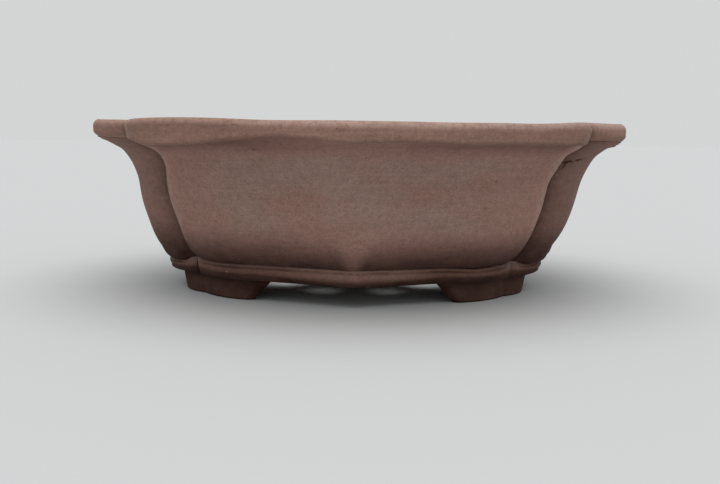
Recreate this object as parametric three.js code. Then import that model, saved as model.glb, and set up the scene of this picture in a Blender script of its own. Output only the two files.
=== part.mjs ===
// A slab-built stoneware bonsai pot with a four-lobed bracket outline, a flaring wall,
// an everted lip, a base moulding and four corner feet. Millimetres, +Z up, front towards -Y.
//
// Every clay member is drawn from one plan outline. The outline is set out twice, once at the
// foot line (flare 0) and once at the lip (flare FLARE), and every level between them is a
// straight blend of the two. A section then only says how far out (flare) and how high (z)
// each of its corners lies.

import * as THREE from 'three';

// ---- Driving dimensions ----------------------------------------------------------------

const HEIGHT = 62.3; // table to the top of the lip
const FLARE = 33.4; // how far the lip stands out beyond the foot line
const JOINT = 0.3; // luted joint between two clay members

const FOOT_HEIGHT = 7.3;
const FOOT_DEPTH = 9; // from a foot's outer face to its inner face
const FOOT_LEAN = 0.6; // how far its outer face leans out
const FOOT_EASE = 1; // rounding along its bottom edges
const FLOOR_THICKNESS = 5.4;
const FLOOR_FLARE = 1.2; // edge of the floor slab, hidden behind the moulding
const MOULDING_HEIGHT = 5.4;
const MOULDING_NOSE = { flare: 5.5, rise: 3.1 }; // where its face stands out furthest
const MOULDING_TOP_FLARE = 4.3; // upper edge of its face
const MOULDING_BOTTOM_FLARE = 2; // lower edge of its face
const MOULDING_THINNING = 0.55; // share of its thickness that it loses at a crease
const BOWL_FOOT_FLARE = 4.3; // outer bottom edge of the wall
const CREASE_DRAW_IN = 2.2; // how far the foot of the wall is drawn in at a crease
const DRAW_IN_TOP = 38; // level at which the drawing in has died out

// The outer faces of the end walls stand out further than the long ones: a little all the way
// up, more along their bottom edge, and most in the cove below the lip.
const END_SWELL = 0.6;
const FOOT_SWELL = { extra: 1.2, top: 17.5 };
const COVE_SWELL = { extra: 1.1, bottom: 45, top: 57 };

const LIP_HEIGHT = 6.1;
const LIP_SEAT_FLARE = 30.8; // outer edge of the lip's flat seat on the wall
const LIP_NOSE_RADIUS = 2.4; // rounding of its outer edge
const LIP_NOSE_LIFT = 0.3; // how far the nose is tucked up above the seat
const MOUTH_FLARE = 14.2; // inner edge of the lip
const MOUTH_RADIUS = 1.4; // rounding of its inner edge

const DRAIN_RADIUS = 7.5;
const DRAIN_SPACING = 56; // between the centres of the two drain holes
const WIRE_HOLE_RADIUS = 2.5;
const WIRE_HOLE_SPACING = 36; // across the pot, between the wire holes of a pair
const WIRE_HOLE_OFFSET = 12; // from the middle of the pot

// Where two lobes meet in a sharp upright crease, as distances from the middle of the pot.
const CREASE_AT_FOOT = { x: 55.2, y: 24.9 };
const CREASE_AT_LIP = { x: 77.3, y: 49.0 };

// A lobe is an upright rounded corner, then a hollow flank, then a soft middle point. Its
// turns are the directions that the surface faces, measured from straight ahead.
const JOIN_TURN = THREE.MathUtils.degToRad(13); // corner passes into hollow flank
const POINT_TURN = THREE.MathUtils.degToRad(22); // hollow flank passes into middle point
const POINT_RADIUS_AT_FOOT = 5;
const LONG_LOBE = {
  creaseTurn: THREE.MathUtils.degToRad(58),
  cornerAtFoot: 28.5,
  cornerAtLip: 44.6,
  steps: [7, 3, 3], // along the corner, the flank and the point
};
const END_LOBE = {
  creaseTurn: THREE.MathUtils.degToRad(62),
  cornerAtFoot: 20.3,
  cornerAtLip: 37.6,
  steps: [6, 2, 3],
};

const FLOOR_BOTTOM = FOOT_HEIGHT + JOINT;
const FLOOR_TOP = FLOOR_BOTTOM + FLOOR_THICKNESS;
const WALL_BOTTOM = FLOOR_TOP + JOINT;
const LIP_BOTTOM = HEIGHT - LIP_HEIGHT;
const WALL_TOP = LIP_BOTTOM - JOINT;

// ---- Plan outline ----------------------------------------------------------------------

// One half of a lobe at one level, in the lobe's own directions: across (0 at the middle
// point) and out (from the middle of the pot). Walk 0 is the crease, 1 the end of the corner
// arc, 2 the end of the hollow flank and 3 the middle point.
function halfLobe(crease, creaseTurn, cornerRadius, pointRadius) {
  const corner = {
    across: crease.across - cornerRadius * Math.sin(creaseTurn),
    out: crease.out - cornerRadius * Math.cos(creaseTurn),
  };
  const join = {
    across: corner.across + cornerRadius * Math.sin(JOIN_TURN),
    out: corner.out + cornerRadius * Math.cos(JOIN_TURN),
  };
  const flankRadius = (join.across - pointRadius * Math.sin(POINT_TURN))
    / (Math.sin(POINT_TURN) - Math.sin(JOIN_TURN));
  const flank = {
    across: join.across + flankRadius * Math.sin(JOIN_TURN),
    out: join.out + flankRadius * Math.cos(JOIN_TURN),
  };
  const pointOut = flank.out - (flankRadius + pointRadius) * Math.cos(POINT_TURN);

  return (walk) => {
    if (walk <= 1) {
      const turn = THREE.MathUtils.lerp(creaseTurn, JOIN_TURN, walk);
      return [corner.across + cornerRadius * Math.sin(turn), corner.out + cornerRadius * Math.cos(turn)];
    }
    if (walk <= 2) {
      const turn = THREE.MathUtils.lerp(JOIN_TURN, POINT_TURN, walk - 1);
      return [flank.across - flankRadius * Math.sin(turn), flank.out - flankRadius * Math.cos(turn)];
    }
    const turn = POINT_TURN * (3 - walk);
    return [pointRadius * Math.sin(turn), pointOut + pointRadius * Math.cos(turn)];
  };
}

// A whole lobe: at(walk, flare, gap) gives its point for a walk of 0 (one crease) through
// 3 (middle point) to 6 (other crease). gap draws the two ends back from the mitred creases.
function makeLobe(shape, creaseAtFoot, creaseAtLip) {
  const pointAtLip = POINT_RADIUS_AT_FOOT + FLARE;
  const foot = halfLobe(creaseAtFoot, shape.creaseTurn, shape.cornerAtFoot, POINT_RADIUS_AT_FOOT);
  const lip = halfLobe(creaseAtLip, shape.creaseTurn, shape.cornerAtLip, pointAtLip);
  const run = new THREE.Vector2(
    creaseAtLip.across - creaseAtFoot.across,
    creaseAtLip.out - creaseAtFoot.out,
  ).normalize();

  const at = (walk, flare, gap) => {
    const half = Math.min(walk, 6 - walk);
    const sign = walk < 3 ? -1 : 1;
    const [footAcross, footOut] = foot(half);
    const [lipAcross, lipOut] = lip(half);
    const drawBack = gap * Math.max(0, 1 - half);
    const across = THREE.MathUtils.lerp(footAcross, lipAcross, flare / FLARE) - drawBack * run.y;
    const out = THREE.MathUtils.lerp(footOut, lipOut, flare / FLARE) + drawBack * run.x;
    return [sign * across, out];
  };

  const walks = [];
  shape.steps.forEach((count, stretch) => {
    for (let i = 0; i < count; i++) walks.push(stretch + i / count);
  });
  const mirrored = walks.map((walk) => 6 - walk).reverse();
  return { at, walks: [...walks, 3, ...mirrored] };
}

const longLobe = makeLobe(
  LONG_LOBE,
  { across: CREASE_AT_FOOT.x, out: CREASE_AT_FOOT.y },
  { across: CREASE_AT_LIP.x, out: CREASE_AT_LIP.y },
);
const endLobe = makeLobe(
  END_LOBE,
  { across: CREASE_AT_FOOT.y, out: CREASE_AT_FOOT.x },
  { across: CREASE_AT_LIP.y, out: CREASE_AT_LIP.x },
);

// The four sides in counter-clockwise order, seen from above.
const SIDES = {
  front: { lobe: longLobe, place: (across, out) => [across, -out] },
  right: { lobe: endLobe, place: (across, out) => [out, across] },
  back: { lobe: longLobe, place: (across, out) => [-across, out] },
  left: { lobe: endLobe, place: (across, out) => [-out, -across] },
};

function planPoint(side, walk, flare, gap = 0) {
  const { lobe, place } = SIDES[side];
  return place(...lobe.at(walk, flare, gap));
}

// ---- Solids ----------------------------------------------------------------------------

// A closed solid swept through stations. section is a counter-clockwise outline of
// Vector2(flare, z), and place(station, corner) gives each of its corners in space.
function sweep(section, stations, place) {
  const positions = [];
  for (const station of stations) {
    for (const corner of section) positions.push(...place(station, corner));
  }
  const count = section.length;
  const last = (stations.length - 1) * count;
  const indices = [];
  for (let start = 0; start < last; start += count) {
    for (let i = 0; i < count; i++) {
      const a = start + i;
      const b = start + ((i + 1) % count);
      indices.push(a, b + count, b, a, a + count, b + count);
    }
  }
  for (const [a, b, c] of THREE.ShapeUtils.triangulateShape(section, [])) {
    indices.push(a, b, c);
    indices.push(last + a, last + c, last + b);
  }
  const geometry = new THREE.BufferGeometry();
  geometry.setAttribute('position', new THREE.Float32BufferAttribute(positions, 3));
  geometry.setIndex(indices);
  geometry.computeVertexNormals();
  return geometry;
}

// A member that runs along one side from crease to crease, mitred at both ends.
// flareAt(corner, nearCrease, side) may alter its flares; nearCrease is 1 at a crease and 0 past
// the corner.
function sideMember(side, section, flareAt = (corner) => corner.x) {
  return sweep(section, SIDES[side].lobe.walks, (walk, corner) => {
    const nearCrease = Math.max(0, 1 - Math.min(walk, 6 - walk)) ** 2;
    return [...planPoint(side, walk, flareAt(corner, nearCrease, side), JOINT / 2), corner.y];
  });
}

const at = (flare, z) => new THREE.Vector2(flare, z);

// A quarter-round between two directions of a section, centred at (flare, z).
function roundCorner(flare, z, radius, fromDegrees, toDegrees, steps) {
  const points = [];
  for (let i = 0; i <= steps; i++) {
    const angle = THREE.MathUtils.degToRad(THREE.MathUtils.lerp(fromDegrees, toDegrees, i / steps));
    points.push(at(flare + radius * Math.cos(angle), z + radius * Math.sin(angle)));
  }
  return points;
}

// Full bowl below, hollow cove below the lip; the inner face follows at wall thickness.
const BOWL = new THREE.CubicBezierCurve(
  at(BOWL_FOOT_FLARE, WALL_BOTTOM),
  at(9.4, 15.3),
  at(13.6, 25.2),
  at(15.8, 36),
);
const COVE = new THREE.CubicBezierCurve(at(15.8, 36), at(17.8, 45.5), at(19.2, 54.2), at(30.2, WALL_TOP));
const INNER_FACE = new THREE.CubicBezierCurve(
  at(MOUTH_FLARE - 0.2, WALL_TOP),
  at(9.9, 34),
  at(6.2, 17.5),
  at(-1.2, WALL_BOTTOM),
);

// The outer face, then the inner face.
const OUTER_FACE = [...BOWL.getPoints(6), ...COVE.getPoints(8).slice(1)];
const WALL_SECTION = [...OUTER_FACE, ...INNER_FACE.getPoints(7)];

function endSwell(z) {
  const foot = FOOT_SWELL.extra * (1 - THREE.MathUtils.smoothstep(z, WALL_BOTTOM, FOOT_SWELL.top));
  const up = THREE.MathUtils.clamp((z - COVE_SWELL.bottom) / (COVE_SWELL.top - COVE_SWELL.bottom), 0, 1);
  return END_SWELL + foot + COVE_SWELL.extra * Math.sin(Math.PI * up);
}

// The slab leans in towards each crease, most at its foot. An end slab swells between creases.
function wallFlare(corner, nearCrease, side) {
  const share = 1 - THREE.MathUtils.smoothstep(corner.y, WALL_BOTTOM, DRAW_IN_TOP);
  const swells = SIDES[side].lobe === endLobe && OUTER_FACE.includes(corner);
  const swell = swells ? endSwell(corner.y) * (1 - nearCrease) : 0;
  return corner.x + swell - CREASE_DRAW_IN * share * nearCrease;
}

function lipSection() {
  const nose = FLARE - LIP_NOSE_RADIUS;
  const noseBottom = LIP_BOTTOM + LIP_NOSE_RADIUS + LIP_NOSE_LIFT;
  return [
    at(MOUTH_FLARE, LIP_BOTTOM),
    at(LIP_SEAT_FLARE, LIP_BOTTOM),
    ...roundCorner(nose, noseBottom, LIP_NOSE_RADIUS, -60, 0, 3),
    ...roundCorner(nose, HEIGHT - LIP_NOSE_RADIUS, LIP_NOSE_RADIUS, 10, 90, 4),
    ...roundCorner(MOUTH_FLARE + MOUTH_RADIUS, HEIGHT - MOUTH_RADIUS, MOUTH_RADIUS, 90, 180, 3),
  ];
}

// A roll planted over the edge of the floor: its nose is high, and it tapers in towards the feet.
const MOULDING_BACK = FLOOR_FLARE + JOINT;

function mouldingSection() {
  const noseZ = FLOOR_BOTTOM + MOULDING_NOSE.rise;
  const topZ = FLOOR_BOTTOM + MOULDING_HEIGHT;
  const points = [];
  const steps = 8;
  for (let i = 0; i <= steps; i++) {
    const angle = THREE.MathUtils.degToRad(-90 + (180 * i) / steps);
    const edgeFlare = angle < 0 ? MOULDING_BOTTOM_FLARE : MOULDING_TOP_FLARE;
    const reach = angle < 0 ? MOULDING_NOSE.rise : topZ - noseZ;
    const flare = THREE.MathUtils.lerp(edgeFlare, MOULDING_NOSE.flare, Math.cos(angle));
    points.push(at(flare, noseZ + reach * Math.sin(angle)));
  }
  return [...points, at(MOULDING_BACK, topZ), at(MOULDING_BACK, FLOOR_BOTTOM)];
}

// The roll thins towards each crease.
function mouldingFlare(corner, nearCrease) {
  return THREE.MathUtils.lerp(corner.x, MOULDING_BACK, MOULDING_THINNING * nearCrease);
}

function floorSlab() {
  const outline = [];
  for (const side of Object.keys(SIDES)) {
    const walks = SIDES[side].lobe.walks.slice(0, -1);
    for (const walk of walks) outline.push(at(...planPoint(side, walk, FLOOR_FLARE)));
  }
  const shape = new THREE.Shape(outline);
  for (const sign of [-1, 1]) {
    const drain = new THREE.Path();
    drain.absarc((sign * DRAIN_SPACING) / 2, 0, DRAIN_RADIUS, 0, 2 * Math.PI, true);
    shape.holes.push(drain);
    for (const across of [-1, 1]) {
      const wireHole = new THREE.Path();
      const y = (across * WIRE_HOLE_SPACING) / 2;
      wireHole.absarc(sign * WIRE_HOLE_OFFSET, y, WIRE_HOLE_RADIUS, 0, 2 * Math.PI, true);
      shape.holes.push(wireHole);
    }
  }
  const settings = { depth: FLOOR_THICKNESS, bevelEnabled: false, curveSegments: 12 };
  return new THREE.ExtrudeGeometry(shape, settings).translate(0, 0, FLOOR_BOTTOM);
}

// ---- Corner feet -----------------------------------------------------------------------

const WING_STEPS = 7; // along each wing

// Where a wing ends, as a walk along its lobe: shorter at the table than under the floor, and
// drawn back at the inner face, so that its end lies square across.
const LONG_WING = { table: 1.04, floor: 1.22, drawnBack: 0.1 };
const END_WING = { table: 0.75, floor: 0.95, drawnBack: 0.2 };

// The outer face leans out a little towards the floor slab.
function footSection() {
  return [
    ...roundCorner(-FOOT_EASE, FOOT_EASE, FOOT_EASE, -90, 0, 2),
    at(FOOT_LEAN, FOOT_HEIGHT),
    at(-FOOT_DEPTH, FOOT_HEIGHT),
    ...roundCorner(FOOT_EASE - FOOT_DEPTH, FOOT_EASE, FOOT_EASE, 180, 270, 2),
  ];
}

// The end of a wing slants in from the floor slab to the table.
function wingEnd(wing, z) {
  return THREE.MathUtils.lerp(wing.table, wing.floor, z / FOOT_HEIGHT);
}

// A foot wraps a crease: station -1 is the end of its wing on the first side, 0 the crease
// and 1 the end of its wing on the next side counter-clockwise.
function cornerFoot(firstSide, nextSide) {
  const stations = [];
  for (let i = -WING_STEPS; i <= WING_STEPS; i++) stations.push(i / WING_STEPS);
  return sweep(footSection(), stations, (station, corner) => {
    const side = station < 0 ? firstSide : nextSide;
    const wing = SIDES[side].lobe === longLobe ? LONG_WING : END_WING;
    const depth = Math.max(0, -corner.x) / FOOT_DEPTH;
    const walk = Math.abs(station) * (wingEnd(wing, corner.y) - wing.drawnBack * depth);
    const plan = planPoint(side, station < 0 ? 6 - walk : walk, corner.x);
    return [...plan, corner.y];
  });
}

// ---- Assembly --------------------------------------------------------------------------

const pot = new THREE.Group();

function add(name, geometry, { color, roughness }) {
  const mesh = new THREE.Mesh(geometry, new THREE.MeshStandardMaterial({ color, roughness, metalness: 0 }));
  mesh.name = name;
  pot.add(mesh);
}

const WALL_CLAY = { color: 0x7a5a50, roughness: 0.8 };
const LIP_CLAY = { color: 0x83604f, roughness: 0.75 };
const BASE_CLAY = { color: 0x6b4a40, roughness: 0.85 };

add('floor_slab', floorSlab(), BASE_CLAY);
for (const side of Object.keys(SIDES)) {
  add(`wall_${side}`, sideMember(side, WALL_SECTION, wallFlare), WALL_CLAY);
  add(`rim_strip_${side}`, sideMember(side, lipSection()), LIP_CLAY);
  add(`base_moulding_${side}`, sideMember(side, mouldingSection(), mouldingFlare), BASE_CLAY);
}
add('foot_front_right', cornerFoot('front', 'right'), BASE_CLAY);
add('foot_back_right', cornerFoot('right', 'back'), BASE_CLAY);
add('foot_back_left', cornerFoot('back', 'left'), BASE_CLAY);
add('foot_front_left', cornerFoot('left', 'front'), BASE_CLAY);

export default pot;
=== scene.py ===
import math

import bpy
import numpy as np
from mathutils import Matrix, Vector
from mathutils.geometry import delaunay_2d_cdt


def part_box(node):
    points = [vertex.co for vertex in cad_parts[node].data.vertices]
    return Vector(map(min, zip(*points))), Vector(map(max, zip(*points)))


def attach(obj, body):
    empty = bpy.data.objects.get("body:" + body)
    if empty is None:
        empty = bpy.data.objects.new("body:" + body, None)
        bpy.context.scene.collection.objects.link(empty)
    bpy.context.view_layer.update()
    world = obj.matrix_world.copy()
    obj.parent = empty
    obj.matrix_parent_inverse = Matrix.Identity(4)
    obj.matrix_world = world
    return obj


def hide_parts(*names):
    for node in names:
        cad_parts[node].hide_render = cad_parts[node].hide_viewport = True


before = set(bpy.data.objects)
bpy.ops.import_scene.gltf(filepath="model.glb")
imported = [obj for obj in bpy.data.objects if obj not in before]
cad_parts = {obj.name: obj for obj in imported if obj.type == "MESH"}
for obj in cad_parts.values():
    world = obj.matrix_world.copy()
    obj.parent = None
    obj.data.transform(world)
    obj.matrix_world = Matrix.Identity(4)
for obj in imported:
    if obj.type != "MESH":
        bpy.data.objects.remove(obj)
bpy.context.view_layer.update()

# A slab-built stoneware bonsai pot: the looks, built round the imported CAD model.
#
# Shapes are worked out in millimetres and written to the meshes in metres. Every clay member is
# drawn from one plan outline, set out at the foot line (flare 0) and at the lip (flare FLARE); a
# level between them is a straight blend of the two. A section says how far out (flare) and how
# high (z) each of its points lies.

MM = 0.001
SEED = 41


# ---- Blends ------------------------------------------------------------------------------

def lerp(a, b, t):
    return a + (b - a) * t


def smooth(low, high, value):
    """0 below low and 1 above high (or the other way round), smooth between."""
    t = np.clip((value - low) / (high - low), 0, 1)
    return t * t * (3 - 2 * t)


def bell(centre, width, value):
    """1 at the centre, falling smoothly to nearly 0 about two widths away."""
    return np.exp(-((value - centre) / width) ** 2)


# ---- Sizes from the frame, in millimetres ------------------------------------------------

def levels(node):
    """Lowest and highest z of a CAD node."""
    low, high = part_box(node)
    return low.z / MM, high.z / MM


FOOT_TOP = levels("foot_front_left")[1]
FLOOR_BOTTOM, FLOOR_TOP = levels("floor_slab")
MOULDING_BOTTOM, MOULDING_TOP = levels("base_moulding_front")
WALL_BOTTOM = levels("wall_front")[0]
LIP_BOTTOM, HEIGHT = levels("rim_strip_front")

# How far out each member reaches, as flares of the plan outline.
FLARE = 33.4  # the lip's outer face
MOUTH_FLARE = 14.2  # the lip's inner face
LIP_SEAT_FLARE = 30.8  # outer edge of the lip's seat on the wall
FLOOR_FLARE = 1.2
MOULDING_BACK = 1.5
MOULDING_NOSE = 5.5
MOULDING_THINNING = 0.55  # share of the moulding's thickness lost at a crease
CREASE_DRAW_IN = 2.2  # how far the foot of the wall is drawn in at a crease
DRAW_IN_TOP = 38.0  # level at which the drawing in has died out

DRAIN_RADIUS = 7.5
DRAIN_X = 28.0
WIRE_HOLE_RADIUS = 2.5
WIRE_HOLE_X = 12.0
WIRE_HOLE_Y = 18.0

# The CAD strips stop this far short of a crease, along x or y.
CAD_DRAW_BACK = 0.11


def crease_line():
    """The crease's place (x, y) at the foot line and at the lip, from the ends of the strips."""
    lip = np.array([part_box("rim_strip_front")[1].x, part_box("rim_strip_right")[1].y]) / MM
    moulding_ends = [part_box("base_moulding_front")[1].x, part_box("base_moulding_right")[1].y]
    moulding = np.array(moulding_ends) / MM
    lip += CAD_DRAW_BACK
    moulding += CAD_DRAW_BACK
    moulding_flare = lerp(MOULDING_NOSE, MOULDING_BACK, MOULDING_THINNING)
    per_flare = (lip - moulding) / (FLARE - moulding_flare)
    return lip - per_flare * FLARE, lip


CREASE_AT_FOOT, CREASE_AT_LIP = crease_line()


# ---- Plan outline ------------------------------------------------------------------------

JOIN_TURN = math.radians(13)
POINT_TURN = math.radians(22)
POINT_RADIUS_AT_FOOT = 5.0


def half_lobe(crease, crease_turn, corner_radius, point_radius):
    """One half of a lobe at one level. Walk 0 is the crease, 1 the end of the corner arc, 2 the
    end of the hollow flank and 3 the middle point. Gives (across, out) for an array of walks."""
    corner = crease - corner_radius * np.array([math.sin(crease_turn), math.cos(crease_turn)])
    join = corner + corner_radius * np.array([math.sin(JOIN_TURN), math.cos(JOIN_TURN)])
    flank_radius = (join[0] - point_radius * math.sin(POINT_TURN)) / (
        math.sin(POINT_TURN) - math.sin(JOIN_TURN))
    flank = join + flank_radius * np.array([math.sin(JOIN_TURN), math.cos(JOIN_TURN)])
    point_out = flank[1] - (flank_radius + point_radius) * math.cos(POINT_TURN)

    def at(walk):
        corner_turn = lerp(crease_turn, JOIN_TURN, np.clip(walk, 0, 1))
        flank_turn = lerp(JOIN_TURN, POINT_TURN, np.clip(walk - 1, 0, 1))
        point_turn = POINT_TURN * np.clip(3 - walk, 0, 1)
        across = np.where(
            walk <= 1, corner[0] + corner_radius * np.sin(corner_turn),
            np.where(walk <= 2, flank[0] - flank_radius * np.sin(flank_turn),
                     point_radius * np.sin(point_turn)))
        out = np.where(
            walk <= 1, corner[1] + corner_radius * np.cos(corner_turn),
            np.where(walk <= 2, flank[1] - flank_radius * np.cos(flank_turn),
                     point_out + point_radius * np.cos(point_turn)))
        return across, out

    return at


class Lobe:
    """A whole lobe, walked from 0 (one crease) through 3 (middle point) to 6 (other crease)."""

    def __init__(self, crease_turn, corner_at_foot, corner_at_lip, flip):
        order = slice(None, None, -1) if flip else slice(None)
        at_foot, at_lip = CREASE_AT_FOOT[order], CREASE_AT_LIP[order]
        self.foot = half_lobe(at_foot, crease_turn, corner_at_foot, POINT_RADIUS_AT_FOOT)
        self.lip = half_lobe(at_lip, crease_turn, corner_at_lip, POINT_RADIUS_AT_FOOT + FLARE)
        self.run = (at_lip - at_foot) / np.linalg.norm(at_lip - at_foot)

    def at(self, walk, flare, gap=0.0):
        half = np.minimum(walk, 6 - walk)
        foot_across, foot_out = self.foot(half)
        lip_across, lip_out = self.lip(half)
        share = flare / FLARE
        draw_back = gap * np.clip(1 - 4 * half, 0, 1)
        across = lerp(foot_across, lip_across, share) - draw_back * self.run[1]
        out = lerp(foot_out, lip_out, share) + draw_back * self.run[0]
        return np.where(walk < 3, -1, 1) * across, out


LONG = Lobe(math.radians(58), 28.5, 44.6, flip=False)
END = Lobe(math.radians(62), 20.3, 37.6, flip=True)

# The four sides counter-clockwise from above, each with the turn that carries it from the front.
SIDES = {
    "front": (LONG, lambda across, out: (across, -out)),
    "right": (END, lambda across, out: (out, across)),
    "back": (LONG, lambda across, out: (-across, out)),
    "left": (END, lambda across, out: (-out, -across)),
}


def plan_point(side, walk, flare, gap=0.0):
    lobe, place = SIDES[side]
    return place(*lobe.at(walk, flare, gap))


# ---- Handmade unevenness -----------------------------------------------------------------

RIPPLE_WAVES = 9


def ripple(points, wavelength, seed):
    """Smooth seeded unevenness in space, mostly between -1 and 1."""
    rng = np.random.default_rng(SEED + seed)
    heading = rng.normal(size=(RIPPLE_WAVES, 3))
    heading /= np.linalg.norm(heading, axis=1)[:, None]
    phase = rng.uniform(0, 2 * math.pi, RIPPLE_WAVES)
    stretch = rng.uniform(0.7, 1.4, RIPPLE_WAVES)
    total = np.zeros(points.shape[:-1])
    for d, p, s in zip(heading, phase, stretch):
        total += np.sin(points @ d * (2 * math.pi * s / wavelength) + p)
    return total / math.sqrt(RIPPLE_WAVES)


LEAN = 0.024  # to the right, per millimetre of height
LOOSE_FROM = 8.0  # level at which the lean starts and the waves reach their full size


def handmade(points):
    """Where each point of the true form really lies: a slight lean, a lip that is not quite
    level and soft waves in the slabs. Neighbouring members move together."""
    x, y, z = points[..., 0], points[..., 1], points[..., 2]
    off_table = smooth(0, LOOSE_FROM, z)
    moved = points.copy()
    moved[..., 0] += LEAN * np.maximum(z - LOOSE_FROM, 0) + 0.4 * bell(48, 8, z)
    # The lip rises towards both tips, most at the right, and to the left of its front.
    front = smooth(30, -40, y)
    lift = 0.38 + 0.75 * smooth(50, 76, x) + 0.50 * smooth(-76, -100, x)
    lift = lift + front * 0.70 * bell(-55, 26, x)
    moved[..., 2] += smooth(40, 60, z) * lift
    for axis, seed in ((0, 1), (1, 2)):
        waves = 0.22 * ripple(points, 46, seed) + 0.09 * ripple(points, 15, seed + 10)
        moved[..., axis] += off_table * waves
    moved[..., 2] += off_table * 0.10 * ripple(points, 40, 3)
    return moved


# ---- Mesh making -------------------------------------------------------------------------

SHARP_ANGLE = math.radians(42)


def make_piece(node, points, faces, marks, material):
    """A mesh piece that stands for a CAD node. marks are named values per point for the clay."""
    mesh = bpy.data.meshes.new(f"{node}_clay")
    mesh.from_pydata((points * MM).tolist(), [], faces)
    mesh.validate()
    for name, values in marks.items():
        layer = mesh.attributes.new(name, "FLOAT", "POINT")
        layer.data.foreach_set("value", np.ascontiguousarray(values, np.float32))
    mesh.shade_smooth()
    mesh.set_sharp_from_angle(angle=SHARP_ANGLE)
    mesh.materials.append(material)
    piece = bpy.data.objects.new(f"{node}_clay", mesh)
    bpy.context.scene.collection.objects.link(piece)
    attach(piece, "root")
    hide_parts(node)


def grid_faces(rows, columns):
    """Quads of a closed section (columns) swept through stations (rows), and its two ends."""
    index = np.arange(rows * columns).reshape(rows, columns)
    a, b = index[:-1], np.roll(index, -1, axis=1)[:-1]
    c, d = index[1:], np.roll(index, -1, axis=1)[1:]
    faces = np.stack([a, c, d, b], axis=-1).reshape(-1, 4).tolist()
    faces.append(index[0].tolist())
    faces.append(index[-1][::-1].tolist())
    return faces


def arc(flare, z, radius, start, end, steps):
    """Points of a rounding, as rows of (flare, z), between two directions in degrees."""
    turn = np.radians(np.linspace(start, end, steps))
    return np.stack([flare + radius * np.cos(turn), z + radius * np.sin(turn)], axis=1)


def bezier(handles, t):
    """Points of a cubic curve at each t from 0 to 1."""
    h = np.array(handles, float)
    t = np.asarray(t)[:, None]
    first_half = (1 - t) ** 3 * h[0] + 3 * t * (1 - t) ** 2 * h[1]
    return first_half + 3 * t * t * (1 - t) * h[2] + t ** 3 * h[3]


def straight(start, end, steps):
    """Points from start up to, but not on, end."""
    t = np.linspace(0, 1, steps, endpoint=False)[:, None]
    return lerp(np.array(start, float), np.array(end, float), t)


def walks_of(lobe, spacing):
    """Walks of the stations from crease to crease, evenly spaced at the lip, closer at creases."""
    fine = np.linspace(0, 3, 601)
    across, out = lobe.lip(fine)
    run = np.concatenate([[0], np.cumsum(np.hypot(np.diff(across), np.diff(out)))])
    count = int(round(run[-1] / spacing))
    even = np.interp(np.linspace(0, run[-1], count + 1), run, fine)
    close = np.interp(np.arange(0.15, 5, 0.3), run, fine)
    half = np.unique(np.concatenate([even, close]))
    return np.concatenate([half, 6 - half[-2::-1]])


def spread(stations, section):
    """Station, flare and z of every point of a sweep."""
    return (array.copy() for array in np.broadcast_arrays(
        stations, section[:, 0][None, :], section[:, 1][None, :]))


def place_in_space(side, walk, flare, z, gap):
    x, y = plan_point(side, walk, flare, gap(side, walk, z))
    return np.stack([x, y, z], axis=-1)


# ---- Along a lobe -------------------------------------------------------------------------

LONG_SIDES = ("front", "back")
CREASES = {"front": ("front_left", "front_right"), "right": ("front_right", "back_right"),
           "back": ("back_right", "back_left"), "left": ("back_left", "front_left")}


def near_crease(walk):
    """1 at a crease, 0 past the rounded corner."""
    half = np.minimum(walk, 6 - walk)
    return np.clip(1 - half, 0, 1) ** 2


def at_crease(side, name, walk):
    """1 for the half of a side that ends at the named crease."""
    first, last = CREASES[side]
    return np.where(walk < 3, first == name, last == name).astype(float)


def crease_distance(side, walk, flare):
    """Distance to the nearer crease at the same level, in millimetres."""
    lobe = SIDES[side][0]
    half = np.minimum(walk, 6 - walk)
    across, out = lobe.at(half, flare)
    crease_across, crease_out = lobe.at(np.zeros_like(half), flare)
    return np.hypot(across - crease_across, out - crease_out)


def crease_shift(side, walk, z, outside):
    """How far the clay lies beyond its section near a crease. Every crease is drawn in at its
    foot. On the outside the two front creases also wander, each in its own way, and are filled
    out just below the lip."""
    drawn_in = CREASE_DRAW_IN * smooth(DRAW_IN_TOP, WALL_BOTTOM, z)
    left = 0.8 * smooth(57, 60, z) - 1.1 * bell(29, 7, z) - 1.2 * bell(48, 4.5, z)
    left = left + filled_seat(side, walk) * smooth(53, 55.4, z) * smooth(57.6, 56.2, z)
    right = 2.5 * smooth(42, 50.5, z) * smooth(56.5, 54.6, z)
    fill = 2.4 * bell(53.9, 1.6, z)
    wander = at_crease(side, "front_left", walk) * (left + fill)
    wander = wander + at_crease(side, "front_right", walk) * (right + fill)
    return near_crease(walk) * (wander * outside - drawn_in)


def filled_seat(side, walk):
    """At the front left crease the cove is filled out under the lip, flush with its face."""
    return 2.2 * at_crease(side, "front_left", walk) * (side in LONG_SIDES)


# Where a burr stands out under the right end strip.
BURR_WALK = 2.22


def end_swell(side, walk, z):
    """An end slab stands out beyond its section between its creases, most in the cove."""
    if side in LONG_SIDES:
        return 0.0 * z
    foot = (1.5 if side == "right" else 0.5) * smooth(17.5, WALL_BOTTOM, z)
    cove = 0.6 * smooth(40, 51, z)
    if side == "right":
        burr = 1.3 * bell(BURR_WALK, 0.10, walk) * bell(54.4, 0.35, z)
        cove = cove + smooth(50, 54, z) + 0.9 * smooth(53.8, 55, z)
        cove = cove - 2.4 * smooth(55.3, LIP_BOTTOM, z) + burr
    else:
        cove = cove + smooth(52, 54.3, z) - 1.4 * smooth(55.5, LIP_BOTTOM, z)
    return (0.6 + foot + cove) * (1 - near_crease(walk))


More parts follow.
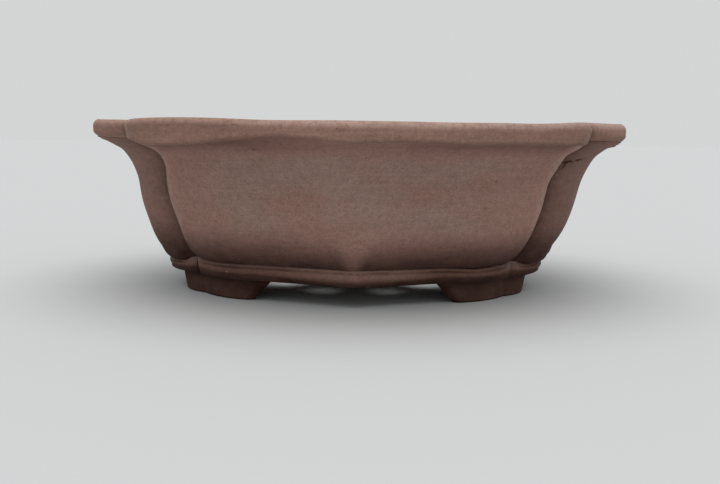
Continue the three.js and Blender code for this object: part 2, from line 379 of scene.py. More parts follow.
def seam_shift(side, walk, flare):
    """How far the lower edge of the lip stands above its true level, as trimmed by hand. The
    top of the wall follows it."""
    x = plan_point(side, walk, FLARE)[0]
    shift = 0.14 * np.sin(walk * 5.3 + len(side)) + 0.08 * np.sin(walk * 12.1)
    # At the front it is high left of the middle, and low at the left crease and to the right.
    if side == "front":
        low_left = -2.75 * smooth(-33, -61, x) * smooth(-77, -67, x)
        dip = -0.75 * bell(-0.5, 5, x) - 0.45 * smooth(14, 26, x) - 0.5 * smooth(50, 64, x)
        shift = shift - 0.05 + 0.85 * bell(-21, 11, x) + low_left + dip
    if side == "right":
        shift = shift - 0.2 * bell(BURR_WALK, 0.08, walk) - 0.3 * bell(2.42, 0.04, walk)
    return shift * smooth(LIP_SEAT_FLARE - 7, LIP_SEAT_FLARE, flare)


def moulding_top_shift(side, walk, away):
    """How far the top of the moulding, and the wall's toe on it, lie above their true level.
    It stands up like a horn at each crease and sags along the end lobes."""
    horn = bell(0, 4.2, away)
    if side == "front":
        x = plan_point(side, walk, 0 * walk)[0]
        return 0.35 + 0.65 * bell(-10, 31, x) - 0.6 * bell(40, 9, x) + 0.75 * horn
    if side == "back":
        return 0.35 + 0.75 * horn
    sag = 1.2 if side == "left" else 0.85
    return (sag + 1.1) * horn - sag


# Half the width of the luted joint in a crease.
TIGHT = 0.03


def no_gap(side, walk, z):
    return TIGHT + 0.0 * z


# ---- Wall slabs ---------------------------------------------------------------------------

# Handles of the curves of a slab's section, as (flare, z).
BOWL = [(4.0, WALL_BOTTOM - 0.05), (9.2, 15.3), (13.6, 25.2), (15.8, 36)]
COVE = [(15.8, 36), (17.8, 45.5), (19.2, 54.2), (LIP_SEAT_FLARE, LIP_BOTTOM)]
TOE = FLOOR_TOP + 0.02  # level of the slab's underside, just above the floor
TOE_FLARE = -1.2  # inner edge of the underside
INNER_FACE = [(MOUTH_FLARE, LIP_BOTTOM), (9.9, 34), (6.2, 17.5), (TOE_FLARE, TOE)]
COVE_STEPS = 240
CRACK_Z = 49.2
CRACK_ROWS = (47.5, 51.5)  # levels between which the right slab gets closer rows


def wall_section(fine_low, fine_high):
    """Outline of a slab and the number of its points that face outwards. Levels from fine_low
    to fine_high get closer rows."""
    cove = bezier(COVE, np.linspace(0, 1, COVE_STEPS + 1))
    fine = (cove[:, 1] > fine_low) & (cove[:, 1] < fine_high)
    kept = np.arange(COVE_STEPS + 1) % 5 == 0
    outside = np.concatenate([
        straight((TOE_FLARE, TOE), (3.5, TOE), 4),
        arc(3.75, TOE + 0.25, 0.25, -90, -30, 4),
        bezier(BOWL, np.linspace(0.015, 1, 46)),
        cove[1:][(kept | fine)[1:]],
    ])
    seam = straight(COVE[-1], INNER_FACE[0], 8)[1:]
    inside = bezier(INNER_FACE, np.linspace(0, 1, 36))[:-1]
    return np.concatenate([outside, seam, inside]), len(outside)


def rolled_edge(side, away, z):
    """The long slabs end in a rounded edge that stands proud of the end slabs."""
    along = smooth(13.5, 17, z) * smooth(56.2, 53, z)
    if side in LONG_SIDES:
        return along * (0.42 * bell(2.0, 1.3, away) - 0.70 * bell(0, 0.85, away))
    return -along * 0.75 * np.exp(-away / 1.8)


def wall_gap(side, walk, z):
    """The front right crease is pitted below the lip."""
    pits = np.clip(np.sin(z * 2.9) + np.sin(z * 1.7 + 1) - 0.4, 0, 2)
    pitted = at_crease(side, "front_right", walk) * 0.14 * pits
    return TIGHT + pitted * smooth(33, 37, z) * smooth(49.5, 48, z)


def crack_depth(side, walk, z):
    """A drying crack in the right end slab, in ragged steps from the front crease inwards."""
    if side != "right":
        return 0.0 * z
    climb = 0.5 * smooth(0.02, 0.07, walk) + 0.5 * smooth(0.20, 0.28, walk)
    climb = climb + 0.4 * smooth(0.33, 0.50, walk)
    path = CRACK_Z + climb + 0.16 * np.sin(walk * 61) + 0.11 * np.sin(walk * 117)
    opened = 0.35 + 0.65 * bell(0.10, 0.05, walk) + 0.5 * bell(0.30, 0.04, walk)
    across = opened * smooth(0.56, 0.46, walk) * bell(path, 0.20 + 0.14 * opened, z)
    down = bell(0.075, 0.012, walk) * smooth(CRACK_Z - 2.4, CRACK_Z - 1.4, z)
    down = down * smooth(CRACK_Z + 0.6, CRACK_Z, z)
    return np.clip(across + 0.6 * down, 0, 1)


def wall_marks(side, walk, z, away, outside):
    """Lighter: painted highlight and wear. Darker: mostly painted shade. cool: the reddish body
    turns grey.
    """
    middle = np.abs(walk - 3) / 3
    if side in LONG_SIDES:
        x = plan_point(side, walk, FLARE)[0]
        # A lighter strip along the rounded edge beside each crease: painted highlight.
        painted_highlight_and_wear = 0.80 * bell(2.6, 2.3, away)
        # Painted shade: a dark line in the crease and a darker band under the lip. A little darker
        # towards the left.
        under_lip = 0.20 + 0.16 * smooth(20, 50, np.abs(x - 5)) - 0.14 * bell(5, 18, x)
        painted_shade_and_darkening = 0.22 * bell(0, 0.7, away) + under_lip * smooth(51.0, 55.2, z) * smooth(2, 9, away)
        painted_shade_and_darkening = painted_shade_and_darkening + 0.04 * smooth(-10, -50, x)
        cool = smooth(0.97, 0.55, middle) * smooth(21, 30, z) * smooth(54, 49, z)
        dark_from = 24.5 + 5.5 * smooth(0.10, 0.6, middle)
        toe_shade = 0.52 + 0.35 * smooth(0.0, 0.35, middle)
    else:
        painted_highlight_and_wear = 0.0 * away
        # The end slabs: painted shade all over, deepest beside the creases.
        painted_shade_and_darkening = (0.42 if side == "right" else 0.30) + 0.38 * np.exp(-away / 3.5)
        cool = 0.30 * smooth(22, 32, z) * smooth(54, 46, z)
        dark_from = 31.0
        toe_shade = 0.92
    # Painted shade darkens the wall towards its foot, from dark_from down.
    foot = smooth(dark_from, WALL_BOTTOM + 0.3, z)
    painted_shade_and_darkening = 1 - (1 - painted_shade_and_darkening) * (1 - toe_shade * foot)
    # Inside, painted shade that grows darker towards the bottom.
    painted_shade_and_darkening = np.where(outside, painted_shade_and_darkening, 0.22 + 0.3 * smooth(30, 14, z))
    return {"painted_highlight_and_wear": painted_highlight_and_wear * outside * (1 - foot), "painted_shade_and_darkening": painted_shade_and_darkening, "cool": cool * outside}


def wall(side):
    """A slab of the wall. The right one has a finer net round its crack."""
    fine_low, fine_high = CRACK_ROWS if side == "right" else (0, 0)
    section, outside_count = wall_section(fine_low, fine_high)
    walk = walks_of(SIDES[side][0], 0.72)[:, None]
    if side == "right":
        dense = np.linspace(0, 0.6, 121)[:, None]
        walk = np.unique(np.concatenate([walk, dense]))[:, None]
    walk, flare, z = spread(walk, section)
    outside = (np.arange(len(section)) < outside_count)[None, :] & (flare > 1.3)
    away = crease_distance(side, walk, flare)
    crack = crack_depth(side, walk, z) * outside
    seam = smooth(48.5, LIP_BOTTOM, z) * seam_shift(side, walk, flare)
    toe = smooth(17, WALL_BOTTOM, z) * smooth(1.3, 3.6, flare) * outside
    seam = seam + toe * np.minimum(moulding_top_shift(side, walk, away), 0)
    flare = flare + crease_shift(side, walk, z, outside) - 0.5 * crack + outside * (
        rolled_edge(side, away, z) + end_swell(side, walk, z))
    points = place_in_space(side, walk, flare, z + seam, wall_gap)
    marks = wall_marks(side, walk, z, away, outside)
    # Painted shade in the crack.
    marks["painted_shade_and_darkening"] = np.clip(marks["painted_shade_and_darkening"] + 0.7 * crack, 0, 1)
    return points, marks, "wall_clay"


# ---- Lip strips ---------------------------------------------------------------------------

LIP_SHOULDER_RADIUS = 2.3  # rounding between the lip's outer face and its top
LIP_MOUTH_RADIUS = 1.4  # rounding between its top and its inner face
LIP_TOP_FALL = 0.25  # how far its top slopes down towards the mouth


def lip_section():
    shoulder_flare = FLARE - LIP_SHOULDER_RADIUS
    mouth_flare = MOUTH_FLARE + LIP_MOUTH_RADIUS
    mouth_z = HEIGHT - LIP_TOP_FALL - LIP_MOUTH_RADIUS
    seam = straight((MOUTH_FLARE, LIP_BOTTOM), (LIP_SEAT_FLARE, LIP_BOTTOM), 8)
    under_handles = [(LIP_SEAT_FLARE, LIP_BOTTOM), (FLARE - 0.9, LIP_BOTTOM + 0.02),
                     (FLARE - 0.05, LIP_BOTTOM + 0.25), (FLARE, LIP_BOTTOM + 1.3)]
    under = bezier(under_handles, np.linspace(0, 1, 18))
    face = straight((FLARE, LIP_BOTTOM + 1.3), (FLARE, HEIGHT - LIP_SHOULDER_RADIUS), 8)[1:]
    shoulder = arc(shoulder_flare, HEIGHT - LIP_SHOULDER_RADIUS, LIP_SHOULDER_RADIUS, 0, 90, 14)
    top = straight((shoulder_flare, HEIGHT), (mouth_flare, HEIGHT - LIP_TOP_FALL), 20)[1:]
    mouth = arc(mouth_flare, mouth_z, LIP_MOUTH_RADIUS, 90, 180, 8)
    inside = straight((MOUTH_FLARE, mouth_z), (MOUTH_FLARE, LIP_BOTTOM), 6)[1:]
    return np.concatenate([seam, under, face, shoulder, top, mouth, inside])


def lip(side):
    """A strip of the lip. Its lower edge is rubbed back near every crease but the front left one,
    most at the front right one, and all along the two ends of the pot."""
    walk, flare, z = spread(walks_of(SIDES[side][0], 0.75)[:, None], lip_section())
    away = crease_distance(side, walk, flare)
    x = plan_point(side, walk, flare)[0]
    lower = smooth(LIP_BOTTOM + 4.2, LIP_BOTTOM + 0.6, z)
    outer = smooth(FLARE - 5, FLARE - 1, flare)
    seat = smooth(MOUTH_FLARE + 8, LIP_SEAT_FLARE, flare)
    wide_seat = end_swell(side, walk, LIP_BOTTOM + 0 * z)
    wide_seat = wide_seat + near_crease(walk) * filled_seat(side, walk)
    squeezed = FLARE - (FLARE - flare) * (1 - wide_seat / (FLARE - LIP_SEAT_FLARE))
    under = smooth(LIP_BOTTOM + 2.3, LIP_BOTTOM, z) * seat
    raised = z + lower * seam_shift(side, walk, flare)
    rubbing = 0.95 + 0.65 * at_crease(side, "front_right", walk)
    rubbing = rubbing - 0.95 * at_crease(side, "front_left", walk)
    rubbed = rubbing * bell(56.9, 1.5, z) * outer * np.exp(-away / 5.0)
    # dull darkens the lip a little all along, more towards both ends.
    dull = 0.09 + 0.13 * smooth(-8, -45, x) + 0.10 * smooth(15, 60, x)
    if side in LONG_SIDES:
        edge_form = 0.30 * bell(1.8, 1.2, away) - 0.45 * bell(0, 0.8, away)
        # A lighter strip beside the crease: painted highlight.
        strip = 0.70 * bell(2.2, 2.0, away)
        # Painted shade in the groove at the crease.
        groove = 0.25 * bell(0, 0.5, away)
    else:
        edge_form = -0.50 * np.exp(-away / 1.4) - 0.30 * smooth(8, 20, away)
        rubbed = np.maximum(rubbed, 1.3 * smooth(58.1, 56.3, z) * outer)
        dull = dull - 0.07
        strip = 0.0
        # Painted shade in the groove beside the crease, near the top.
        groove = 0.35 * np.exp(-away / 1.6) * smooth(HEIGHT, HEIGHT - 2, z)
    bulge = crease_shift(side, walk, np.maximum(z, LIP_BOTTOM + 1.5), 1)
    past_seat = flare >= LIP_SEAT_FLARE
    flare = lerp(flare, squeezed, under) + bulge * seat + outer * edge_form - rubbed
    flare = np.where(past_seat, np.maximum(flare, LIP_SEAT_FLARE + wide_seat), flare)
    top = smooth(HEIGHT - 3, HEIGHT, z)
    raised = raised - top * 0.45 * np.exp(-away / 2.2) * at_crease(side, "front_left", walk)
    # Painted highlight along the lip's shoulder, weaker towards the left end.
    upper_edge = smooth(HEIGHT - 2.9, HEIGHT - 0.9, z) * smooth(FLARE - 5, FLARE - 1.5, flare)
    lit = 0.55 + 0.45 * smooth(-45, -15, x)
    # low_dull darkens the lower face from left of the middle rightwards; high_dull darkens a band
    # near the top at the left end.
    low_dull = 0.09 * smooth(60.5, 57.5, z) * smooth(-30, 5, x)
    high_dull = 0.08 * smooth(-30, -55, x) * smooth(58, 60, z) * smooth(62, 60.5, z)
    # Painted shade on the inner face of the mouth.
    inner = 0.15 * smooth(MOUTH_FLARE + 2, MOUTH_FLARE, flare)
    marks = {
        "painted_highlight_and_wear": np.clip(strip + lit * upper_edge, 0, 1),
        "painted_shade_and_darkening": np.clip(dull + low_dull + high_dull + inner + groove, 0, 1),
        "cool": 0.10 + 0 * away,
    }
    return place_in_space(side, walk, flare, raised, no_gap), marks, "lip_clay"


# ---- Base moulding ------------------------------------------------------------------------

MOULDING_NOSE_RISE = 3.1
MOULDING_TOP_FLARE = 4.5
MOULDING_BOTTOM_FLARE = 2.0


def moulding_section():
    nose = MOULDING_BOTTOM + MOULDING_NOSE_RISE
    turn = np.radians(np.linspace(-90, 90, 41))
    edge = np.where(turn < 0, MOULDING_BOTTOM_FLARE, MOULDING_TOP_FLARE)
    reach = np.where(turn < 0, MOULDING_NOSE_RISE, MOULDING_TOP - nose)
    face = np.stack([lerp(edge, MOULDING_NOSE, np.cos(turn)), nose + reach * np.sin(turn)], axis=1)
    top = straight((MOULDING_TOP_FLARE, MOULDING_TOP), (FLOOR_FLARE + 0.03, MOULDING_TOP), 8)[1:]
    back = np.array([(FLOOR_FLARE + 0.03, MOULDING_TOP), (FLOOR_FLARE + 0.03, MOULDING_BOTTOM)])
    return np.concatenate([face, top, back])


def moulding_gap(side, walk, z):
    """The front left mitre stands open."""
    return TIGHT + at_crease(side, "front_left", walk) * 0.40 * smooth(12.7, 11.9, z)


def moulding(side):
    """The roll thins at the creases, swells and wanders a little, and a bead of luting clay
    stands along its top edge. The end rolls are flatter, with a steeper underside."""
    walk, flare, z = spread(walks_of(SIDES[side][0], 0.72)[:, None], moulding_section())
    away = crease_distance(side, walk, flare)
    share = np.clip((z - MOULDING_BOTTOM) / (MOULDING_TOP - MOULDING_BOTTOM), 0, 1)
    on_face = smooth(1.7, 3.6, flare)
    swell = 0.14 * np.sin(walk * 3.1 + 2 * len(side)) + 0.08 * np.sin(walk * 7.7)
    bead = bell(4.25, 0.30, flare) * smooth(0.8, 1.0, share)
    bead_height = np.clip(0.26 + 0.14 * np.sin(walk * 9.3 + 1) + 0.08 * np.sin(walk * 23), 0.06, 1)
    groove = bell(0.80, 0.055, share) * on_face * smooth(2, 8, away)
    rolled_bead = bell(0.95, 0.05, share) * on_face
    rise = moulding_top_shift(side, walk, away)
    if side in LONG_SIDES:
        off_middle = np.abs(plan_point(side, walk, flare)[0])
        # Darker away from the middle, a little lighter beside the creases.
        painted_shade_and_darkening = 0.32 + 0.34 * smooth(8, 36, off_middle) - 0.16 * bell(2, 2.5, away)
    else:
        swell = swell - 0.5 + 0.9 * smooth(0.5, 0.1, share)
        # The end rolls darker, a little lighter beside the creases.
        painted_shade_and_darkening = 0.64 - 0.10 * bell(2, 3, away)
    swell = swell + bead_height * (0.8 * rolled_bead - 1.1 * groove)
    thinning = MOULDING_THINNING * near_crease(walk) * on_face
    flare = lerp(flare + swell * on_face, MOULDING_BACK, thinning)
    z = z + rise * share ** 1.5 + bead * bead_height
    # Painted highlight along the ridge of the roll.
    ridge = 0.55 * smooth(0.84, 0.96, share)
    front_right = at_crease(side, "front_right", walk)
    # Painted highlight beside each crease, stronger at the front right.
    patch = bell(2.2, 2.2, away) * (0.5 + 0.4 * front_right)
    patch = patch + 0.6 * front_right * bell(5.5, 2.5, away) * (side == "front")
    marks = {
        "painted_highlight_and_wear": np.clip(ridge + patch * smooth(0.45, 0.75, share), 0, 1),
        # Painted shade on the underside and in the groove.
        "painted_shade_and_darkening": np.clip(painted_shade_and_darkening + 0.60 * smooth(0.66, 0.16, share) + 0.16 * groove, 0, 0.93),
        "cool": 0.15 + 0 * z,
    }
    return place_in_space(side, walk, flare, z, moulding_gap), marks, "base_clay"


# ---- Feet ---------------------------------------------------------------------------------

FOOT_DEPTH = 9.0
FOOT_EASE = 1.0
FOOT_LEAN = 0.6
END_ROUNDING = 2.2

# Where a wing ends, as a walk: at the table, under the floor, and how much less at its inner
# face; and roughly how long it is.
LONG_WING = (1.04, 1.22, 0.10, 24.0)
END_WING = (0.75, 0.95, 0.20, 14.0)


def foot_section():
    top = FLOOR_BOTTOM - 0.03
    inner = -FOOT_DEPTH
    return np.concatenate([
        arc(-FOOT_EASE, FOOT_EASE, FOOT_EASE, -90, 0, 9),
        straight((0, FOOT_EASE), (FOOT_LEAN, top), 14)[1:],
        straight((FOOT_LEAN, top), (inner, top), 8),
        straight((inner, top), (inner, FOOT_EASE), 10),
        arc(inner + FOOT_EASE, FOOT_EASE, FOOT_EASE, 180, 270, 9),
        straight((inner + FOOT_EASE, 0), (-FOOT_EASE, 0), 7)[1:],
    ])


def foot(first_side, next_side):
    """A foot wraps a crease, with one wing along each side."""
    even = np.linspace(-1, 1, 141)
    closer_at_ends = np.sign(even) * (1 - (1 - np.abs(even)) ** 1.5)
    station, flare, z = spread(closer_at_ends[:, None], foot_section())
    drop = np.clip(1 - z / FOOT_TOP, 0, 1)
    depth = np.clip(-flare, 0, FOOT_DEPTH) / FOOT_DEPTH
    points = np.zeros(station.shape + (3,))
    points[..., 2] = z
    away = np.zeros_like(z)
    to_end = np.zeros_like(z)
    for side, part in ((first_side, station < 0), (next_side, station >= 0)):
        table_end, floor_end, drawn_back, length = LONG_WING if side in LONG_SIDES else END_WING
        floor_end += 0.10 * (side == "right" and next_side == "right")
        walk = np.abs(station) * (lerp(floor_end, table_end, drop) - drawn_back * depth)
        wing_left = (1 - np.abs(station)) * length
        turned = np.clip(1 - wing_left / END_ROUNDING, 0, 1)
        pull = END_ROUNDING * (1 - np.sqrt(1 - turned ** 2))
        rounded = np.where(depth < 0.5, flare - pull, flare + pull)
        x, y = plan_point(side, np.where(station < 0, 6 - walk, walk), rounded)
        points[..., 0] = np.where(part, x, points[..., 0])
        points[..., 1] = np.where(part, y, points[..., 1])
        away = np.where(part, crease_distance(side, walk, flare), away)
        to_end = np.where(part, wing_left, to_end)
    # Lighter along the bottom edge and beside the crease: painted highlight and wear.
    rim_highlight_and_wear = 0.55 if next_side == "right" else 0.22
    # Painted shade: the feet dark all over, darker at top and bottom and towards the wing ends.
    base_shade = 0.91 if first_side == "left" else 0.86
    marks = {
        "painted_highlight_and_wear": np.clip(0.20 * bell(2.0, 1.6, away) + rim_highlight_and_wear * bell(1.0, 0.4, z), 0, 1),
        "painted_shade_and_darkening": np.clip(base_shade + 0.08 * smooth(5.0, 7.4, z) + 0.08 * smooth(0.9, 0.1, z)
                        + 0.15 * smooth(2.5, 0, to_end), 0, 0.97),
        "cool": 0.35 + 0 * z,
    }
    return points, marks, "base_clay"


# ---- Floor slab ---------------------------------------------------------------------------

def ring(centre, radius, steps):
    turn = np.linspace(0, 2 * math.pi, steps, endpoint=False)
    return np.stack([centre[0] + radius * np.cos(turn), centre[1] + radius * np.sin(turn)], axis=1)


def floor_holes():
    """Centre, radius and number of points of each hole through the floor."""
    holes = []
    for sign in (-1, 1):
        holes.append(((sign * DRAIN_X, 0.0), DRAIN_RADIUS, 64))
        for across in (-1, 1):
            holes.append(((sign * WIRE_HOLE_X, across * WIRE_HOLE_Y), WIRE_HOLE_RADIUS, 32))
    return holes


HOLE_EASE = 0.9  # rounding of both rims of a hole
EASE_STEPS = ((0.30, 0.30), (0.08, 0.62), (0.0, 1.0))  # shares of it, across and down


def floor_slab():
    """The floor: one net of triangles used for its top and its bottom, eased round each hole."""
    outline = []
    for side in SIDES:
        walk = walks_of(SIDES[side][0], 1.6)[:-1]
        outline.append(np.stack(plan_point(side, walk, FLOOR_FLARE - 0.05 + 0 * walk), axis=1))
    outline = np.concatenate(outline)
    loops = [outline]
    for centre, radius, steps in floor_holes():
        loops.append(ring(centre, radius + HOLE_EASE, steps))
    reach = np.abs(outline).max(0)
    gx, gy = np.meshgrid(np.arange(-reach[0], reach[0], 3.0), np.arange(-reach[1], reach[1], 3.0))
    loose = np.stack([gx.ravel(), gy.ravel()], axis=1)
    loose += np.random.default_rng(SEED).uniform(-0.7, 0.7, loose.shape)
    keep = inside_loop(loose, outline * 0.975)
    for centre, radius, _ in floor_holes():
        keep &= np.hypot(*(loose - np.array(centre)).T) > radius + 1.7
    flat = np.concatenate(loops + [loose[keep]])
    edges = []
    start = 0
    for loop in loops:
        index = np.arange(start, start + len(loop))
        edges += np.stack([index, np.roll(index, -1)], axis=1).tolist()
        start += len(loop)
    net = delaunay_2d_cdt([Vector(p) for p in flat], edges, [], 0, 1e-7)
    flat = np.array([tuple(v) for v in net[0]])
    triangles = np.array(net[2])
    middle = flat[triangles].mean(axis=1)
    solid = inside_loop(middle, outline)
    for centre, radius, _ in floor_holes():
        solid &= np.hypot(*(middle - np.array(centre)).T) > radius + 0.85
    return build_floor(flat, triangles[solid].tolist(), loops)


def inside_loop(points, loop):
    """Even-odd test of points against a closed loop."""
    inside = np.zeros(len(points), bool)
    for a, b in zip(loop, np.roll(loop, -1, axis=0)):
        crosses = (a[1] > points[:, 1]) != (b[1] > points[:, 1])
        with np.errstate(divide="ignore", invalid="ignore"):
            cut = a[0] + (points[:, 1] - a[1]) * (b[0] - a[0]) / (b[1] - a[1])
        inside ^= crosses & (points[:, 0] < cut)
    return inside


def build_floor(flat, triangles, loops):
    """Points, faces and marks of the floor, from its net and the loops of its rim and holes."""
    count = len(flat)
    top = np.column_stack([flat, np.full(count, FLOOR_TOP)])
    bottom = np.column_stack([flat, np.full(count, FLOOR_BOTTOM)])
    points = [top, bottom]
    faces = [list(t) for t in triangles]
    faces += [[i + count for i in reversed(t)] for t in triangles]
    size = 2 * count

    def nearest(loop):
        return [int(np.argmin(((flat - p) ** 2).sum(1))) for p in loop]

    rim = nearest(loops[0])
    for i, j in zip(rim, rim[1:] + rim[:1]):
        faces.append([j, i, i + count, j + count])
    for (centre, radius, steps), loop in zip(floor_holes(), loops[1:]):
        upper = nearest(loop)
        rings = []
        for share, drop in EASE_STEPS:
            rings.append((radius + share * HOLE_EASE, FLOOR_TOP - drop * HOLE_EASE))
        for share, drop in reversed(EASE_STEPS):
            rings.append((radius + share * HOLE_EASE, FLOOR_BOTTOM + drop * HOLE_EASE))
        loops_now = [upper]
        for ring_radius, z in rings:
            points.append(np.column_stack([ring(centre, ring_radius, steps), np.full(steps, z)]))
            loops_now.append(list(range(size, size + steps)))
            size += steps
        loops_now.append([i + count for i in upper])
        for above, below in zip(loops_now, loops_now[1:]):
            for i in range(steps):
                j = (i + 1) % steps
                faces.append([above[i], above[j], below[j], below[i]])
    points = np.concatenate(points)
    points[:, 2] += 0.12 * ripple(points, 24, 7) * (points[:, 2] < FLOOR_BOTTOM + 1) * 0.5
    marks = {
        "painted_highlight_and_wear": np.full(len(points), 0.05),
        # Painted shade: darker on top, darker still underneath.
        "painted_shade_and_darkening": np.where(points[:, 2] > FLOOR_TOP - 1.5, 0.42, 0.62),
        "cool": np.full(len(points), 0.3),
    }
    return points, faces, marks


# ---- Clay --------------------------------------------------------------------------------

class Nodes:
    """Short calls for building a shader node tree."""

    def __init__(self, tree):
        self.tree = tree

    def new(self, kind, **settings):
        node = self.tree.nodes.new(kind)
        for name, value in settings.items():
            setattr(node, name, value)
        return node

    def link(self, value, socket):
        if isinstance(value, bpy.types.NodeSocket):
            self.tree.links.new(value, socket)
        else:
            socket.default_value = value

    def math(self, operation, *values, clamp=False):
        node = self.new("ShaderNodeMath", operation=operation, use_clamp=clamp)
        for value, socket in zip(values, node.inputs):
            self.link(value, socket)
        return node.outputs[0]

    def ramp(self, value, low, high):
        """0 below low, 1 above high, smooth between."""
        node = self.new("ShaderNodeMapRange", interpolation_type="SMOOTHSTEP")
        self.link(value, node.inputs["Value"])
        node.inputs["From Min"].default_value = low
        node.inputs["From Max"].default_value = high
        return node.outputs["Result"]

    def mix(self, factor, a, b):
        node = self.new("ShaderNodeMix", data_type="RGBA")
        self.link(factor, node.inputs[0])
        self.link(a, node.inputs[6])
        self.link(b, node.inputs[7])
        return node.outputs[2]

    def attribute(self, name):
        return self.new("ShaderNodeAttribute", attribute_name=name).outputs["Fac"]

    def place(self, stretch=(1, 1, 1)):
        """Object coordinates in millimetres, stretched along each axis."""
        node = self.new("ShaderNodeVectorMath", operation="MULTIPLY")
        coordinates = self.new("ShaderNodeTexCoord").outputs["Object"]
        self.tree.links.new(coordinates, node.inputs[0])
        node.inputs[1].default_value = [s / MM for s in stretch]
        return node.outputs[0]

    def noise(self, where, wavelength, detail=2.0, roughness=0.5):
        node = self.new("ShaderNodeTexNoise")
        self.tree.links.new(where, node.inputs["Vector"])
        node.inputs["Scale"].default_value = 1 / wavelength
        node.inputs["Detail"].default_value = detail
        node.inputs["Roughness"].default_value = roughness
        return node.outputs["Fac"]

    def grains(self, where, spacing, size, share):
        """Spots about size across, in a share of the cells of a random grid."""
        node = self.new("ShaderNodeTexVoronoi")
        self.tree.links.new(where, node.inputs["Vector"])
        node.inputs["Scale"].default_value = 1 / spacing
        split = self.new("ShaderNodeSeparateColor")
        self.tree.links.new(node.outputs["Color"], split.inputs[0])
        chosen = self.math("GREATER_THAN", split.outputs[0], 1 - share)
        radius = size / 2 / spacing
        spot = self.ramp(node.outputs["Distance"], radius, radius * 0.55)
        return self.math("MULTIPLY", chosen, spot)


def colour(red, green, blue):
    return (red, green, blue, 1.0)


# Lighter tone of painted highlights and of wear.
HIGHLIGHT_AND_WEAR_CLAY = colour(0.405, 0.290, 0.250)
# Dark tone of painted shade and of the other darkening.
PAINTED_SHADE_AND_DARKENING_CLAY = colour(0.034, 0.012, 0.008)
PALE_GROG = colour(0.46, 0.33, 0.27)
DARK_GROG = colour(0.045, 0.026, 0.021)
PIT_SHADE = colour(0.050, 0.028, 0.022)


def clay_material(name, red_body, grey_body, striations):
    """Unglazed stoneware: a reddish body with grey clouds, grog, wiping marks and a fine skin."""
    material = bpy.data.materials.new(name)
    material.use_nodes = True
    tree = material.node_tree
    shader = tree.nodes["Principled BSDF"]
    n = Nodes(tree)
    where = n.place()

    clouds = n.noise(n.place((0.6, 0.6, 1.25)), 15, detail=3, roughness=0.55)
    patches = n.noise(n.place((0.6, 0.6, 1.2)), 6.0, detail=3, roughness=0.6)
    mottle = n.noise(where, 1.9, detail=3, roughness=0.65)
    grainy = n.noise(where, 0.55, detail=2, roughness=0.6)
    wiped = n.noise(n.place((0.045, 0.045, 1.0)), 0.9, detail=3, roughness=0.6)

    cool = n.math("MULTIPLY", n.attribute("cool"), n.ramp(clouds, 0.32, 0.62))
    cool = n.math("ADD", cool, n.math("MULTIPLY", n.ramp(patches, 0.52, 0.72), 0.25), clamp=True)
    body = n.mix(cool, red_body, grey_body)

    tone = n.math("ADD", n.math("MULTIPLY", n.math("SUBTRACT", mottle, 0.5), 0.55),
                  n.math("MULTIPLY", n.math("SUBTRACT", grainy, 0.5), 0.75))
    tone = n.math("ADD", tone, n.math("MULTIPLY", n.math("SUBTRACT", clouds, 0.5), 0.30))
    tone = n.math("ADD", tone, n.math("MULTIPLY", n.math("SUBTRACT", wiped, 0.5), striations))
    tone = n.math("ADD", tone, 1.0)
    toned = n.new("ShaderNodeVectorMath", operation="SCALE")
    n.link(body, toned.inputs[0])
    n.link(tone, toned.inputs["Scale"])
    body = toned.outputs[0]

    # Painted highlight and wear: this mark lightens the body and makes it a little smoother.
    painted_highlight_and_wear = n.math("MULTIPLY", n.attribute("painted_highlight_and_wear"), n.ramp(mottle, 0.20, 0.62))
    body = n.mix(n.math("MULTIPLY", painted_highlight_and_wear, 0.62), body, HIGHLIGHT_AND_WEAR_CLAY)
    # Painted shade and other darkening: this mark darkens the body, varying in patches.
    painted_shade_and_darkening = n.attribute("painted_shade_and_darkening")
    cloudy = n.math("ADD", 0.80, n.math("MULTIPLY", patches, 0.38))
    painted_shade_and_darkening = n.math("MULTIPLY", painted_shade_and_darkening, cloudy, clamp=True)
    body = n.mix(painted_shade_and_darkening, body, PAINTED_SHADE_AND_DARKENING_CLAY)

    pale_grog = n.grains(where, 2.6, 0.75, 0.10)
    dark_grog = n.grains(n.place((1.07, 0.93, 1.11)), 1.5, 0.50, 0.20)
    pits = n.grains(n.place((0.9, 0.9, 1.3)), 7.0, 1.15, 0.10)
    body = n.mix(n.math("MULTIPLY", pale_grog, 0.38), body, PALE_GROG)
    body = n.mix(n.math("MULTIPLY", dark_grog, 0.45), body, DARK_GROG)
    body = n.mix(n.math("MULTIPLY", pits, 0.55), body, PIT_SHADE)
    tree.links.new(body, shader.inputs["Base Color"])

    roughness = n.math("ADD", 0.66, n.math("MULTIPLY", grainy, 0.22))
    roughness = n.math("SUBTRACT", roughness, n.math("MULTIPLY", painted_highlight_and_wear, 0.10))
    tree.links.new(roughness, shader.inputs["Roughness"])
    shader.inputs["Specular IOR Level"].default_value = 0.12

    height = n.math("MULTIPLY", grainy, 0.055)
    height = n.math("ADD", height, n.math("MULTIPLY", mottle, 0.10))
    height = n.math("ADD", height, n.math("MULTIPLY", patches, 0.22))
    height = n.math("ADD", height, n.math("MULTIPLY", wiped, 0.20 * striations))
    height = n.math("ADD", height, n.math("MULTIPLY", pale_grog, 0.05))
    height = n.math("SUBTRACT", height, n.math("MULTIPLY", dark_grog, 0.10))
    height = n.math("SUBTRACT", height, n.math("MULTIPLY", pits, 0.22))
    bump = n.new("ShaderNodeBump")
    bump.inputs["Distance"].default_value = MM
    bump.inputs["Strength"].default_value = 1.0
    tree.links.new(height, bump.inputs["Height"])
    tree.links.new(bump.outputs["Normal"], shader.inputs["Normal"])
    return material


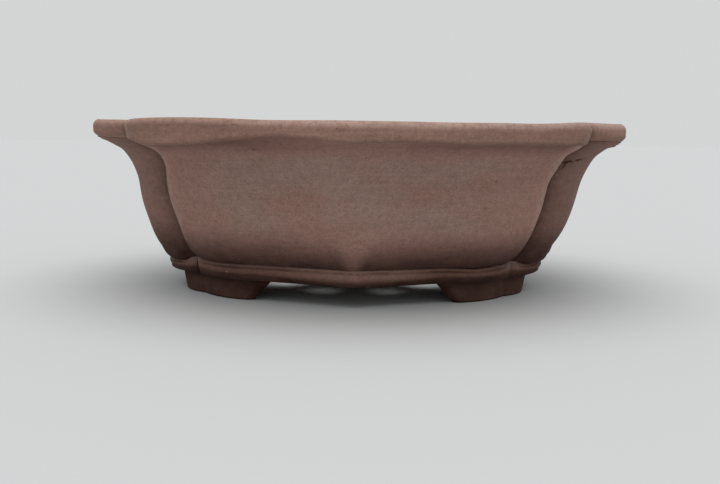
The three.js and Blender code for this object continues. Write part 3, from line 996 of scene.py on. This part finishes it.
# Each slot's reddish body, grey body and strength of its wiping marks.
CLAY_LOOKS = {
    "wall_clay": (colour(0.310, 0.177, 0.143), colour(0.293, 0.190, 0.156), 0.28),
    "lip_clay": (colour(0.288, 0.165, 0.131), colour(0.265, 0.185, 0.153), 0.46),
    "base_clay": (colour(0.270, 0.155, 0.118), colour(0.235, 0.160, 0.130), 0.20),
}
CLAY = {slot: clay_material(f"{slot}_fired", *looks) for slot, looks in CLAY_LOOKS.items()}


def swept_piece(node, made):
    """A piece from the grid of points, the marks and the slot that its function made."""
    points, marks, slot = made
    rows, columns = points.shape[:2]
    full = np.zeros((rows, columns))
    flat_marks = {name: (values + full).ravel() for name, values in marks.items()}
    points = handmade(points).reshape(-1, 3)
    make_piece(node, points, grid_faces(rows, columns), flat_marks, CLAY[slot])


for side_name in SIDES:
    swept_piece(f"wall_{side_name}", wall(side_name))
    swept_piece(f"rim_strip_{side_name}", lip(side_name))
    swept_piece(f"base_moulding_{side_name}", moulding(side_name))
around = list(SIDES)
for first, following in zip(around, around[1:] + around[:1]):
    crease = CREASES[first][1]
    swept_piece(f"foot_{crease}", foot(first, following))
floor_points, floor_faces, floor_marks = floor_slab()
make_piece("floor_slab", floor_points, floor_faces, floor_marks, CLAY["base_clay"])


# ---- Floor, light and camera -------------------------------------------------------------

FLOOR_HALF = 6.0


def make_floor():
    """A plain pale floor, the plane that the pot stands on."""
    mesh = bpy.data.meshes.new("studio_floor")
    signs = ((-1, -1), (1, -1), (1, 1), (-1, 1))
    corners = [(FLOOR_HALF * x, FLOOR_HALF * y, 0) for x, y in signs]
    mesh.from_pydata(corners, [], [(0, 1, 2, 3)])
    material = bpy.data.materials.new("pale_paper")
    material.use_nodes = True
    shader = material.node_tree.nodes["Principled BSDF"]
    shader.inputs["Base Color"].default_value = colour(0.462, 0.475, 0.480)
    shader.inputs["Roughness"].default_value = 0.9
    shader.inputs["Specular IOR Level"].default_value = 0.1
    mesh.materials.append(material)
    floor = bpy.data.objects.new("studio_floor", mesh)
    bpy.context.scene.collection.objects.link(floor)


def light_scene():
    """An even pale surround, with a very large soft light overhead."""
    world = bpy.data.worlds.new("studio")
    world.use_nodes = True
    background = world.node_tree.nodes["Background"]
    background.inputs["Color"].default_value = colour(0.655, 0.668, 0.668)
    background.inputs["Strength"].default_value = 1.0
    bpy.context.scene.world = world
    light = bpy.data.lights.new("overhead_light", "SUN")
    light.energy = 2.4
    light.angle = math.radians(80)
    light.color = (1.0, 0.985, 0.96)
    lamp = bpy.data.objects.new("overhead_light", light)
    lamp.rotation_euler = (math.radians(8), 0, 0)
    bpy.context.scene.collection.objects.link(lamp)


# The camera stands low in front, a little to the right, and looks slightly down. Its lens is
# 40 mm on a 36 mm sensor, which is a choice: the view alone does not settle it.
CAMERA_PLACE = (0.0049, -0.3158, 0.0583)
CAMERA_PITCH = 0.13184
CAMERA_YAW = 0.00973
CAMERA_ROLL = 0.0115
LENS = 40.0
SENSOR_WIDTH = 36.0


def add_camera():
    forward = Vector((-math.sin(CAMERA_YAW) * math.cos(CAMERA_PITCH),
                      math.cos(CAMERA_YAW) * math.cos(CAMERA_PITCH), -math.sin(CAMERA_PITCH)))
    level_right = Vector((math.cos(CAMERA_YAW), math.sin(CAMERA_YAW), 0))
    level_up = level_right.cross(forward)
    right = math.cos(CAMERA_ROLL) * level_right + math.sin(CAMERA_ROLL) * level_up
    up = math.cos(CAMERA_ROLL) * level_up - math.sin(CAMERA_ROLL) * level_right
    data = bpy.data.cameras.new("camera")
    data.lens = LENS
    data.sensor_width = SENSOR_WIDTH
    data.clip_start = 0.01
    camera = bpy.data.objects.new("camera", data)
    turn = Matrix((right, up, -forward)).transposed().to_4x4()
    camera.matrix_world = Matrix.Translation(CAMERA_PLACE) @ turn
    bpy.context.scene.collection.objects.link(camera)
    bpy.context.scene.camera = camera


make_floor()
light_scene()
add_camera()
bpy.context.scene.view_settings.view_transform = "Standard"
